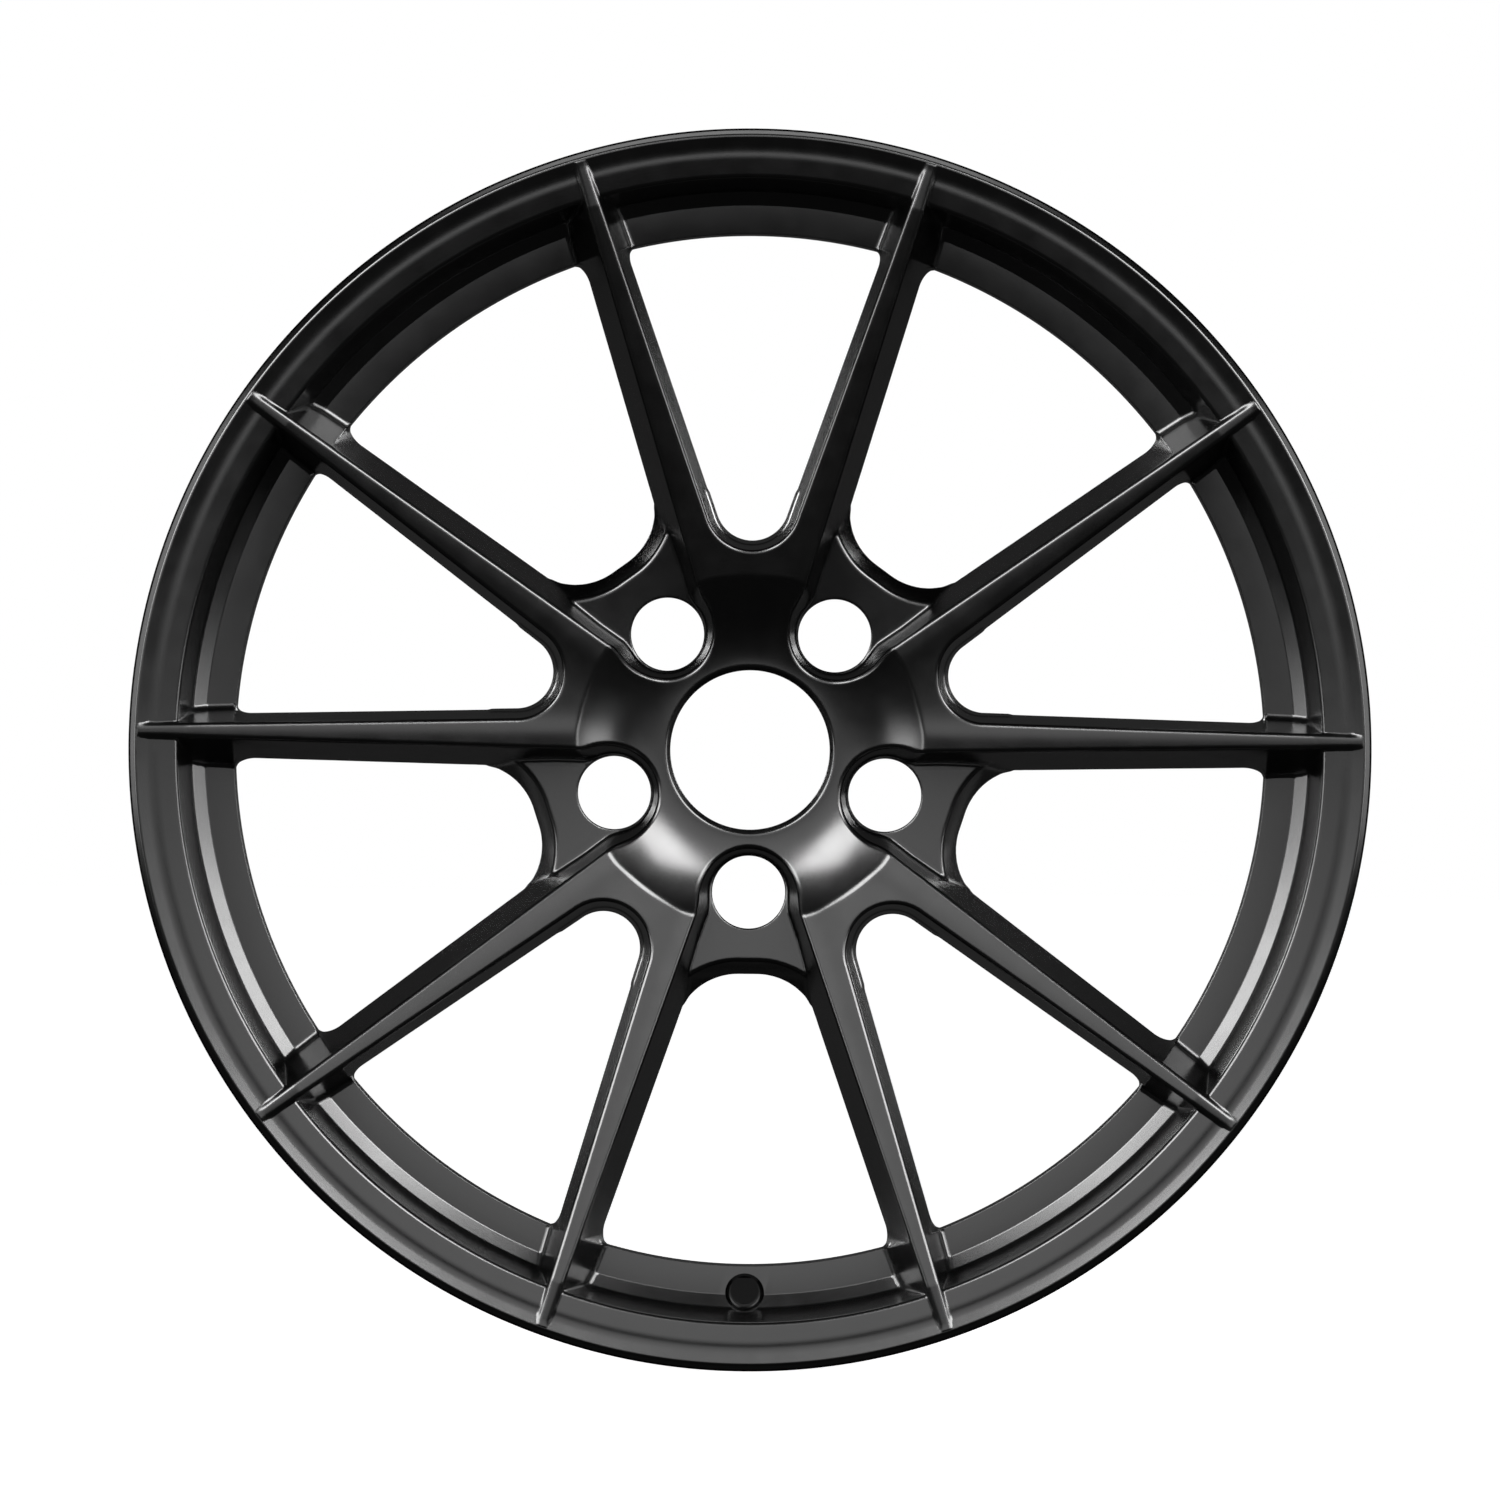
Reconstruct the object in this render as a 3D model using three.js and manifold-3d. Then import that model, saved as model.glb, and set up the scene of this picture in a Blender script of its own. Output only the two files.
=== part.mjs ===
// A forged ten-spoke racing wheel rim, 18 x 8.5 inches, with its spokes in five V pairs.
// The wheel is one forging. It is drawn as the sections that a wheel maker names: the rim's
// rings, the hub, the pad behind it, the webs at the lugs, the yokes that join the spokes in
// pairs, and the spokes.
// Millimetres. The wheel turns about Y, its outboard face looks towards -Y, and Z is up.
// "Forward" is the distance towards the outboard face from the plane midway between the
// flanges. An azimuth runs clockwise from the top as seen from outboard.

import * as THREE from 'three';
import { mergeVertices } from 'three/addons/utils/BufferGeometryUtils.js';
import Module from 'manifold-3d';

const wasm = await Module();
wasm.setup();

// Rim contour
const BEAD_SEAT_RADIUS = 231;
const FLANGE_SPACING = 215.9;
const FLANGE_WIDTH = 12.7;
const FLANGE_HEIGHT = 17.5;
const FLANGE_CURL_RADIUS = 9.5;
const FLANGE_NOSE_RADIUS = 2.2;
const FLANGE_CREST_WIDTH = 2.5;
const BEAD_SEAT_LENGTH = 20;
const BEAD_SEAT_FALL = 1.7;
const HUMP_HEIGHT = 1.1;
const HUMP_LENGTH = 5;
const WELL_DEPTH = 19;
const WELL_LENGTH = 28;
const RIM_WALL = 5.2;
const BARREL_STEP = 6.5;
const BARREL_RAMP_LENGTH = 50;

// Outboard recess of the rim, where the spokes land
const LIP_DROP = 2.4;
const LIP_EDGE_INSET = 2;
const LIP_EDGE_DROP = 1.4;
const LEDGE_DEPTH = 32.65;
const LEDGE_WIDTH = 11.5;
const LEDGE_THICKNESS = 10;
const SHOULDER_SLOPE = 0.75;
const VALVE_HOLE_RADIUS = 5.65;
const VALVE_HOLE_INSET = 9.7;
const VALVE_AZIMUTH = 180;

// Hub
const SPOKE_PAIRS = 5;
const MOUNTING_OFFSET = 35;
const PAD_THICKNESS = 15;
const PAD_BORDER = 8;
const PAD_RELIEF_DEPTH = 9;
const PAD_RELIEF_RADIUS = 7.5;
const PAD_RELIEF_SPREAD = 5;
const BORE_RADIUS = 32.05;
const BORE_CHAMFER = 2.7;
const BOLT_CIRCLE_RADIUS = 57.15;
const LUG_HOLE_RADIUS = 14.7;
const POCKET_CLEARANCE = 1.2;
const POCKET_FLOOR = 34;
const POCKET_DRAFT = 14;
const BOWL_EDGE_RADIUS = 70;
const BOWL_DEPTH = 15.5;
const BOWL_FLAT = 2;
const HUB_HEIGHT = 57;

// Spokes: each one's centre line passes the wheel's axis at SPOKE_OFFSET, at SPOKE_LEAN to
// the middle of its pair. Half-widths are from that line to the pair's inner or outer side.
const SPOKE_LEAN = 18.1;
const SPOKE_OFFSET = 3.58;
const SPOKE_TAPER = 1.285;
const SPOKE_INNER_HALF = 10.93;
const SPOKE_OUTER_HALF = 9.83;
const WIDTH_RADIUS = 152;
const INNER_RUN = 4;
const OUTER_RUN = 7.8;
const INNER_FLARE = 3.5;
const INNER_FLARE_LENGTH = 5.5;
const OUTER_FLARE = 4.9;
const OUTER_FLARE_LENGTH = 7;
const YOKE_LENGTH = 25;
const ROOT_DEPTH = 36;
const TIP_PROUD = 2.1;
const TIP_INSET = 2;

// Windows at the hub: the narrow one inside a pair and the wide one outside it. Each one's
// round end has its centre at a standoff from the bowl's edge.
const PAIR_WINDOW_STANDOFF = 28.9;
const LUG_WINDOW_STANDOFF = 45.6;
const LUG_WINDOW_RADIUS = 25;
const FLOOR_SLOPE_RUN = 5;
const HORN_LENGTH = 11;

// Clearance between neighbouring sections, and how finely round shapes are cut
const GAP = 0.3;
const RIM_SEGMENTS = 70;
const HUB_SEGMENTS = 50;
const HOLE_SEGMENTS = 30;
const ARC_STEPS = 4;
const REACH = 30;
const MERGE_DISTANCE = 1e-3;

// Sizes that follow
const FLANGE_FACE = FLANGE_SPACING / 2;
const OUTBOARD = FLANGE_FACE + FLANGE_WIDTH;
const OUTER_RADIUS = BEAD_SEAT_RADIUS + FLANGE_HEIGHT;
const SHOULDER_RADIUS = BEAD_SEAT_RADIUS - BEAD_SEAT_FALL;
const WELL_OUTER = BEAD_SEAT_RADIUS - WELL_DEPTH;
const WELL_INNER = WELL_OUTER - RIM_WALL;
const BARREL_OUTER = BEAD_SEAT_RADIUS - BARREL_STEP;
const BARREL_INNER = BARREL_OUTER - RIM_WALL;
const LEDGE = OUTBOARD - LEDGE_DEPTH;
const LEDGE_OUTER = WELL_INNER + LEDGE_WIDTH;
const LIP = OUTBOARD - LIP_DROP;
const LIP_INNER = BEAD_SEAT_RADIUS - LIP_EDGE_INSET;
const CREST_INNER = OUTER_RADIUS - FLANGE_NOSE_RADIUS - FLANGE_CREST_WIDTH;
const WELL_FRONT = LEDGE - LEDGE_THICKNESS - SHOULDER_SLOPE * (SHOULDER_RADIUS - WELL_OUTER);
const WELL_REAR = WELL_FRONT - WELL_LENGTH;
const RAMP_END = WELL_REAR - BARREL_RAMP_LENGTH;
const PAD_FRONT = MOUNTING_OFFSET + PAD_THICKNESS;
const HUB_TOP = MOUNTING_OFFSET + HUB_HEIGHT;
const FLOOR = MOUNTING_OFFSET + POCKET_FLOOR;
const POCKET_RADIUS = LUG_HOLE_RADIUS + POCKET_CLEARANCE;
const TIP_TOP = LIP + TIP_PROUD;
const TIP_RADIUS = OUTER_RADIUS - TIP_INSET;
const SECTOR = (2 * Math.PI) / SPOKE_PAIRS;
const PAD_RADIUS = BOWL_EDGE_RADIUS + PAD_BORDER;
const ROOT_CUT_RADIUS = BOWL_EDGE_RADIUS + YOKE_LENGTH;
const HORN_RADIUS = ROOT_CUT_RADIUS + HORN_LENGTH;
const PAIR_WINDOW_CENTRE = BOWL_EDGE_RADIUS + PAIR_WINDOW_STANDOFF;
const LUG_WINDOW_CENTRE = BOWL_EDGE_RADIUS + LUG_WINDOW_STANDOFF;

const radians = THREE.MathUtils.degToRad;
const lerp = THREE.MathUtils.lerp;

// ---- Solids ----

// A closed geometry as a solid that can be joined and cut.
function toSolid(geometry) {
  const bare = geometry.clone();
  bare.deleteAttribute('normal');
  bare.deleteAttribute('uv');
  const merged = mergeVertices(bare, MERGE_DISTANCE);
  return new wasm.Manifold(new wasm.Mesh({
    numProp: 3,
    vertProperties: merged.attributes.position.array,
    triVerts: new Uint32Array(merged.index.array),
  }));
}

function toGeometry(solid) {
  const mesh = solid.getMesh();
  const geometry = new THREE.BufferGeometry();
  geometry.setAttribute('position', new THREE.BufferAttribute(mesh.vertProperties, 3));
  geometry.setIndex(new THREE.BufferAttribute(mesh.triVerts, 1));
  geometry.computeVertexNormals();
  return geometry;
}

// A ring turned about the wheel's axis from a closed outline of [radius, forward] points.
function turned(outline, segments) {
  const points = outline.map(([radius, forward]) => new THREE.Vector2(radius, -forward));
  if (THREE.ShapeUtils.isClockWise(points)) points.reverse();
  points.push(points[0].clone());
  return new THREE.LatheGeometry(points, segments);
}

// A drum on the wheel's axis, or on a line parallel to it at (radius, azimuth).
function drum(drumRadius, rear, front, segments, radius = 0, azimuth = 0) {
  const geometry = new THREE.CylinderGeometry(drumRadius, drumRadius, front - rear, segments);
  geometry.translate(0, -(front + rear) / 2, radius);
  return toSolid(geometry.rotateY(azimuth));
}

// A prism whose outline changes from level to level. Each level is { outline, forward },
// its outlines have matching points, and forward(radius) says how far forward it lies.
function draftedPrism(levels) {
  const base = levels[0].outline;
  const steps = levels.length - 1;
  const shape = new THREE.Shape(base);
  const geometry = new THREE.ExtrudeGeometry(shape, { depth: steps, steps, bevelEnabled: false });
  const position = geometry.attributes.position;
  const vertex = new THREE.Vector2();
  for (let i = 0; i < position.count; i += 1) {
    vertex.set(position.getX(i), position.getY(i));
    const level = levels[Math.round(position.getZ(i))];
    const index = base.findIndex((point) => point.distanceTo(vertex) < MERGE_DISTANCE);
    const target = level.outline[index];
    position.setXYZ(i, target.x, target.y, level.forward(target.length()));
  }
  return toSolid(geometry.rotateX(Math.PI / 2));
}

function arc(centreX, centreY, radius, from, to, steps = ARC_STEPS) {
  return Array.from({ length: steps + 1 }, (_, i) => {
    const angle = lerp(from, to, i / steps);
    return [centreX + radius * Math.cos(angle), centreY + radius * Math.sin(angle)];
  });
}

function turnSolid(solid, azimuth) {
  return solid.rotate([0, THREE.MathUtils.radToDeg(azimuth), 0]);
}

// ---- Surfaces that the sections share ----

// The front of the spokes, rising from the hub to the lip.
function spokeFront(radius) {
  const rise = (radius - BOWL_EDGE_RADIUS) / (BEAD_SEAT_RADIUS - BOWL_EDGE_RADIUS);
  return lerp(HUB_TOP, TIP_TOP, THREE.MathUtils.clamp(rise, 0, 1));
}

// The back of the hub and spokes, from the pad out to the ledge.
function spokeBack(radius) {
  const root = spokeFront(ROOT_CUT_RADIUS) - ROOT_DEPTH;
  if (radius < ROOT_CUT_RADIUS) {
    const climb = (radius - PAD_RADIUS) / (ROOT_CUT_RADIUS - PAD_RADIUS);
    return lerp(PAD_FRONT + GAP, root, THREE.MathUtils.clamp(climb, 0, 1));
  }
  const out = (radius - ROOT_CUT_RADIUS) / (WELL_INNER - ROOT_CUT_RADIUS);
  return lerp(root, LEDGE - LEDGE_THICKNESS, Math.min(out, 1));
}

// The back's outline between two radii, with a point wherever its slope changes.
function backOutline(inner, outer) {
  const bends = [PAD_RADIUS, ROOT_CUT_RADIUS, WELL_INNER];
  const between = bends.filter((radius) => radius > inner && radius < outer);
  return [inner, ...between, outer].map((radius) => [radius, spokeBack(radius)]);
}

// The dished face of the hub.
function bowl(radius) {
  const start = BORE_RADIUS + BORE_CHAMFER;
  const share = (radius - start) / (BOWL_EDGE_RADIUS - start);
  return HUB_TOP - BOWL_DEPTH + BOWL_DEPTH * share ** BOWL_FLAT;
}

// The steep wall between the ledge and the lip, as its radius at a height.
function recessWall(forward) {
  const share = (forward - LEDGE) / (LIP - LIP_EDGE_DROP - LEDGE);
  return lerp(LEDGE_OUTER, LIP_INNER, share);
}

// ---- Rim rings ----

function flangeCurl(side) {
  const curl = arc(OUTER_RADIUS - FLANGE_CURL_RADIUS, FLANGE_FACE + FLANGE_CURL_RADIUS,
    FLANGE_CURL_RADIUS, -Math.PI / 2, 0);
  const nose = arc(OUTER_RADIUS - FLANGE_NOSE_RADIUS, OUTBOARD - FLANGE_NOSE_RADIUS,
    FLANGE_NOSE_RADIUS, 0, Math.PI / 2, 2);
  return [...curl, ...nose].map(([radius, forward]) => [radius, side * forward]);
}

function outboardFlange() {
  return turned([
    [recessWall(FLANGE_FACE), FLANGE_FACE],
    ...flangeCurl(1),
    [CREST_INNER, OUTBOARD],
    [CREST_INNER - LIP_DROP, LIP],
    [LIP_INNER + LIP_EDGE_DROP, LIP],
    [LIP_INNER, LIP - LIP_EDGE_DROP],
  ], RIM_SEGMENTS);
}

function outboardBeadSeat(valveCut) {
  const front = FLANGE_FACE - GAP;
  const rear = LEDGE + GAP;
  const ring = turned([
    [recessWall(rear), rear],
    [SHOULDER_RADIUS, rear],
    [BEAD_SEAT_RADIUS, front],
    [recessWall(front), front],
  ], RIM_SEGMENTS);
  return toGeometry(toSolid(ring).subtract(valveCut));
}

// The ledge that the spokes land on, with the hump and the shoulder down to the well.
function outboardShoulder(valveCut) {
  const ring = turned([
    [WELL_INNER, LEDGE],
    [SHOULDER_RADIUS, LEDGE],
    [SHOULDER_RADIUS + HUMP_HEIGHT, LEDGE - HUMP_LENGTH / 2],
    [SHOULDER_RADIUS, LEDGE - HUMP_LENGTH],
    [WELL_OUTER, WELL_FRONT],
    [WELL_INNER, WELL_FRONT],
  ], RIM_SEGMENTS);
  return toGeometry(toSolid(ring).subtract(valveCut));
}

function dropCentre() {
  const front = WELL_FRONT - GAP;
  return turned([
    [WELL_OUTER, front],
    [WELL_OUTER, WELL_REAR],
    [WELL_INNER, WELL_REAR],
    [WELL_INNER, front],
  ], RIM_SEGMENTS);
}

function barrelRamp() {
  const front = WELL_REAR - GAP;
  return turned([
    [WELL_OUTER, front],
    [BARREL_OUTER, RAMP_END],
    [BARREL_INNER, RAMP_END],
    [WELL_INNER, front],
  ], RIM_SEGMENTS);
}

function inboardBarrel() {
  const front = RAMP_END - GAP;
  const rear = HUMP_LENGTH + BEAD_SEAT_LENGTH - FLANGE_FACE;
  return turned([
    [BARREL_OUTER, front],
    [BARREL_OUTER, rear],
    [BARREL_INNER, rear],
    [BARREL_INNER, front],
  ], RIM_SEGMENTS);
}

function inboardBeadSeat() {
  const seatEnd = BEAD_SEAT_LENGTH - FLANGE_FACE;
  const front = seatEnd + HUMP_LENGTH - GAP;
  const rear = GAP - FLANGE_FACE;
  return turned([
    [BARREL_OUTER, front],
    [SHOULDER_RADIUS + HUMP_HEIGHT, seatEnd + HUMP_LENGTH / 2],
    [SHOULDER_RADIUS, seatEnd],
    [BEAD_SEAT_RADIUS, rear],
    [BEAD_SEAT_RADIUS - RIM_WALL, rear],
    [BARREL_INNER, seatEnd],
    [BARREL_INNER, front],
  ], RIM_SEGMENTS);
}

function inboardFlange() {
  return turned([
    [BEAD_SEAT_RADIUS - RIM_WALL, -FLANGE_FACE],
    ...flangeCurl(-1),
    [BEAD_SEAT_RADIUS + FLANGE_WIDTH / 2, -OUTBOARD],
    [BEAD_SEAT_RADIUS, RIM_WALL - OUTBOARD],
    [BEAD_SEAT_RADIUS - RIM_WALL, FLANGE_WIDTH - RIM_WALL - OUTBOARD],
  ], RIM_SEGMENTS);
}

// Everything behind the rim's outboard face, grown by the gap, to trim the spokes' tips.
function rimEnvelope() {
  const outside = OUTER_RADIUS + REACH;
  return toSolid(turned([
    [WELL_INNER - GAP, WELL_REAR],
    [WELL_INNER - GAP, LEDGE + GAP],
    [LEDGE_OUTER - GAP, LEDGE + GAP],
    [LIP_INNER - GAP, LIP - LIP_EDGE_DROP],
    [LIP_INNER + LIP_EDGE_DROP - GAP, LIP + GAP],
    [CREST_INNER - LIP_DROP - GAP, LIP + GAP],
    [CREST_INNER - GAP, OUTBOARD + GAP],
    [outside, OUTBOARD + GAP],
    [outside, WELL_REAR],
  ], RIM_SEGMENTS));
}

function valveHole() {
  const radius = WELL_INNER + VALVE_HOLE_INSET;
  return drum(VALVE_HOLE_RADIUS, WELL_FRONT, OUTBOARD + REACH, HOLE_SEGMENTS, radius,
    radians(VALVE_AZIMUTH));
}

// ---- Windows between the spokes ----

// Distance along a window's side, from square to the wheel's axis, at a radius.
function alongSide(radius, offset) {
  return Math.sqrt(radius ** 2 - offset ** 2);
}

// A window's outline, open to beyond the rim, symmetrical about +y. Its sides are straight
// and lean outwards, its hub end is round, and its corners at the rim are quarter ellipses.
// side = { lean, offset, centre, radius, flare, flareLength }, and grow widens it all round.
function windowOutline(side, grow) {
  const out = new THREE.Vector2(Math.sin(side.lean), Math.cos(side.lean));
  const across = new THREE.Vector2(out.y, -out.x);
  const reach = side.offset + grow;
  const right = [];
  for (let i = 0; i <= 2 * ARC_STEPS; i += 1) {
    const angle = lerp(0, Math.PI / 2 - side.lean, i / (2 * ARC_STEPS));
    right.push(new THREE.Vector2(
      side.centreX + (side.radius + grow) * Math.sin(angle),
      side.centre - (side.radius + grow) * Math.cos(angle),
    ));
  }
  const flareStart = alongSide(WELL_INNER, reach) - side.flareLength;
  for (let i = 0; i <= ARC_STEPS; i += 1) {
    const angle = ((Math.PI / 2) * i) / ARC_STEPS;
    const along = flareStart + side.flareLength * Math.sin(angle);
    const inset = side.flare * (1 - Math.cos(angle));
    right.push(out.clone().multiplyScalar(along).addScaledVector(across, reach - inset));
  }
  const end = OUTER_RADIUS + REACH;
  right.push(out.clone().multiplyScalar(end).addScaledVector(across, reach - side.flare));
  const left = right.map((point) => new THREE.Vector2(-point.x, point.y)).reverse();
  if (side.centreX === 0) left.pop();
  return [...right, ...left];
}

// The side of the window inside a pair of spokes. Its round end touches both sides.
function pairSide(flare = INNER_FLARE) {
  const lean = radians(SPOKE_LEAN + SPOKE_TAPER);
  const offset = sideOffset(SPOKE_OFFSET + SPOKE_INNER_HALF, SPOKE_TAPER);
  const radius = PAIR_WINDOW_CENTRE * Math.sin(lean) - offset;
  return {
    lean,
    offset: -offset,
    centreX: 0,
    centre: PAIR_WINDOW_CENTRE,
    radius,
    flare,
    flareLength: INNER_FLARE_LENGTH,
  };
}

// The side of the window outside a pair. Its hub end is two arcs with a short flat between.
function lugSide(flare = OUTER_FLARE) {
  const lean = SECTOR / 2 - radians(SPOKE_LEAN - SPOKE_TAPER);
  const offset = sideOffset(SPOKE_OUTER_HALF - SPOKE_OFFSET, SPOKE_TAPER);
  const width = LUG_WINDOW_CENTRE * Math.sin(lean) - offset - LUG_WINDOW_RADIUS;
  return {
    lean,
    offset: -offset,
    centreX: Math.max(width / Math.cos(lean), 0),
    centre: LUG_WINDOW_CENTRE,
    radius: LUG_WINDOW_RADIUS,
    flare,
    flareLength: OUTER_FLARE_LENGTH,
  };
}

// How far a spoke's side passes from the wheel's axis, when it is `half` from it at
// WIDTH_RADIUS and turned from the spoke's centre line by the taper.
function sideOffset(half, taper) {
  return half * Math.cos(radians(taper)) + WIDTH_RADIUS * Math.sin(radians(taper));
}

// The space inside a pair of spokes, drafted to open forwards.
function pairCutter() {
  const back = windowOutline(pairSide(), 0);
  const front = windowOutline(pairSide(0), INNER_RUN);
  return draftedPrism([
    { outline: back, forward: (radius) => spokeBack(radius) - REACH },
    { outline: back, forward: spokeBack },
    { outline: front, forward: spokeFront },
    { outline: front, forward: (radius) => spokeFront(radius) + REACH },
  ]);
}

// Straight-sided space between two pairs, from the bolt circle out, before the hub's web.
function wedgeOutline(grow, flare) {
  const outline = windowOutline(lugSide(flare), grow);
  const firstSide = 2 * ARC_STEPS + 1;
  const side = outline.slice(firstSide, firstSide + ARC_STEPS + 2);
  const { lean, offset } = lugSide();
  const half = BOLT_CIRCLE_RADIUS * Math.tan(lean) + (offset + grow) / Math.cos(lean);
  const right = [new THREE.Vector2(half, BOLT_CIRCLE_RADIUS), ...side];
  const left = right.map((point) => new THREE.Vector2(-point.x, point.y)).reverse();
  return [...right, ...left];
}

function wedgeCutter(grow = 0) {
  const back = wedgeOutline(grow, OUTER_FLARE);
  const front = wedgeOutline(OUTER_RUN + grow, 0);
  return draftedPrism([
    { outline: back, forward: (radius) => spokeBack(radius) - REACH },
    { outline: back, forward: spokeBack },
    { outline: front, forward: spokeFront },
    { outline: front, forward: (radius) => spokeFront(radius) + REACH },
  ]);
}

// The window outside a pair, with the slope that runs down to it from the pocket floor.
function lugWindowCutter() {
  const back = windowOutline(lugSide(), 0);
  const front = windowOutline(lugSide(), FLOOR_SLOPE_RUN);
  const landBack = (radius) => Math.min(spokeBack(radius), spokeBack(HORN_RADIUS));
  return draftedPrism([
    { outline: back, forward: (radius) => landBack(radius) - REACH },
    { outline: back, forward: landBack },
    { outline: front, forward: () => FLOOR },
    { outline: front, forward: () => FLOOR + REACH },
  ]);
}

// ---- Hub, yokes and spokes ----

function hubOutline() {
  const start = BORE_RADIUS + BORE_CHAMFER;
  const edge = BOWL_EDGE_RADIUS - GAP / 2;
  const steps = ARC_STEPS + 2;
  const dish = Array.from({ length: steps + 1 }, (_, i) => {
    const radius = lerp(start, edge, i / steps);
    return [radius, bowl(radius)];
  });
  return [
    [BORE_RADIUS, bowl(start) - BORE_CHAMFER],
    ...dish,
    [edge, PAD_FRONT + GAP],
    [BORE_RADIUS, PAD_FRONT + GAP],
  ];
}

// Conical pocket around a lug hole, opening forwards from the floor.
function pocketCone() {
  const height = HUB_TOP + REACH - FLOOR;
  const mouth = POCKET_RADIUS + height * Math.tan(radians(POCKET_DRAFT));
  const geometry = new THREE.CylinderGeometry(POCKET_RADIUS, mouth, height, HOLE_SEGMENTS);
  geometry.translate(0, -(FLOOR + height / 2), BOLT_CIRCLE_RADIUS);
  return toSolid(geometry);
}

// The space above a pocket's floor: the cone and the wedge that opens outwards from it.
function pocketCutter() {
  const above = drum(LUG_WINDOW_CENTRE + REACH, FLOOR, OUTBOARD + 2 * REACH, HUB_SEGMENTS);
  return wedgeCutter().intersect(above).add(pocketCone());
}

// The web that carries a pocket's floor from the hub out to the window between two pairs,
// with a horn beside each spoke.
function lugWeb() {
  const inner = BOWL_EDGE_RADIUS + GAP / 2;
  const blank = toSolid(turned([
    ...backOutline(inner, HORN_RADIUS),
    [HORN_RADIUS, FLOOR],
    [inner, FLOOR],
  ], HUB_SEGMENTS));
  return toGeometry(blank.intersect(wedgeCutter(-GAP))
    .subtract(lugWindowCutter())
    .subtract(lugHole(0)));
}

function lugAzimuth(pair) {
  return (pair + 0.5) * SECTOR;
}

// The drilling for one lug, through the pad and the hub.
function lugHole(azimuth) {
  return drum(LUG_HOLE_RADIUS, MOUNTING_OFFSET - REACH, OUTBOARD, HOLE_SEGMENTS,
    BOLT_CIRCLE_RADIUS, azimuth);
}

function hubCentre() {
  let hub = toSolid(turned(hubOutline(), HUB_SEGMENTS));
  const cutter = pocketCutter();
  for (let pair = 0; pair < SPOKE_PAIRS; pair += 1) {
    const azimuth = lugAzimuth(pair);
    hub = hub.subtract(turnSolid(cutter, azimuth)).subtract(lugHole(azimuth));
  }
  return toGeometry(hub);
}

// A lightening pocket in the pad's back, between two lug holes.
function padRelief(azimuth) {
  const shape = new THREE.Shape();
  shape.absarc(PAD_RELIEF_SPREAD, BOLT_CIRCLE_RADIUS, PAD_RELIEF_RADIUS, -Math.PI / 2, Math.PI / 2);
  shape.absarc(-PAD_RELIEF_SPREAD, BOLT_CIRCLE_RADIUS, PAD_RELIEF_RADIUS, Math.PI / 2, 1.5 * Math.PI);
  const geometry = new THREE.ExtrudeGeometry(shape, {
    depth: REACH,
    bevelEnabled: false,
    curveSegments: 2 * ARC_STEPS,
  });
  geometry.rotateX(Math.PI / 2);
  geometry.translate(0, REACH - MOUNTING_OFFSET - PAD_RELIEF_DEPTH, 0);
  return turnSolid(toSolid(geometry), azimuth);
}

function mountingPad() {
  let pad = toSolid(turned([
    [BORE_RADIUS, PAD_FRONT],
    [PAD_RADIUS, PAD_FRONT],
    [PAD_RADIUS, MOUNTING_OFFSET],
    [BORE_RADIUS + BORE_CHAMFER, MOUNTING_OFFSET],
    [BORE_RADIUS, MOUNTING_OFFSET + BORE_CHAMFER],
  ], HUB_SEGMENTS));
  for (let pair = 0; pair < SPOKE_PAIRS; pair += 1) {
    pad = pad.subtract(lugHole(lugAzimuth(pair))).subtract(padRelief(pair * SECTOR));
  }
  return toGeometry(pad);
}

// One pair of spokes with its yoke: a turned blank less the windows and the rim.
function spokePair() {
  const inner = BOWL_EDGE_RADIUS + GAP / 2;
  const blank = toSolid(turned([
    ...backOutline(inner, TIP_RADIUS),
    [TIP_RADIUS, TIP_TOP],
    [BEAD_SEAT_RADIUS, TIP_TOP],
    [inner, spokeFront(inner)],
  ], RIM_SEGMENTS));
  const sector = new THREE.Shape([
    new THREE.Vector2(0, 0),
    new THREE.Vector2(Math.sin(SECTOR / 2), Math.cos(SECTOR / 2)).multiplyScalar(2 * OUTER_RADIUS),
    new THREE.Vector2(-Math.sin(SECTOR / 2), Math.cos(SECTOR / 2)).multiplyScalar(2 * OUTER_RADIUS),
  ]);
  const wedge = new THREE.ExtrudeGeometry(sector, { depth: OUTBOARD + REACH, bevelEnabled: false });
  return blank.intersect(toSolid(wedge.rotateX(Math.PI / 2)))
    .subtract(pairCutter())
    .subtract(turnSolid(wedgeCutter(), SECTOR / 2))
    .subtract(turnSolid(wedgeCutter(), -SECTOR / 2))
    .subtract(rimEnvelope());
}

function yoke(pairSolid) {
  const inside = drum(ROOT_CUT_RADIUS - GAP / 2, 0, OUTBOARD + REACH, RIM_SEGMENTS);
  return toGeometry(pairSolid.intersect(inside));
}

// The spoke on one side of its pair: side is 1 for the clockwise one and -1 for the other.
function spoke(pairSolid, side) {
  const inside = drum(ROOT_CUT_RADIUS + GAP / 2, 0, OUTBOARD + REACH, RIM_SEGMENTS);
  const half = new THREE.BoxGeometry(OUTER_RADIUS, 4 * OUTBOARD, 2 * OUTER_RADIUS);
  half.translate((side * OUTER_RADIUS) / 2, 0, OUTER_RADIUS);
  return toGeometry(pairSolid.subtract(inside).intersect(toSolid(half)));
}

// ---- Materials ----

// Satin black powder coat over the forging.
function satinBlack() {
  return new THREE.MeshStandardMaterial({ color: 0x17181a, roughness: 0.38, metalness: 0.0 });
}

// Black paint on the faces that a tyre or a car's hub bears on, worn a little flatter.
function contactBlack() {
  return new THREE.MeshStandardMaterial({ color: 0x1c1d1f, roughness: 0.5, metalness: 0.0 });
}

// ---- Assembly ----

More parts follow.
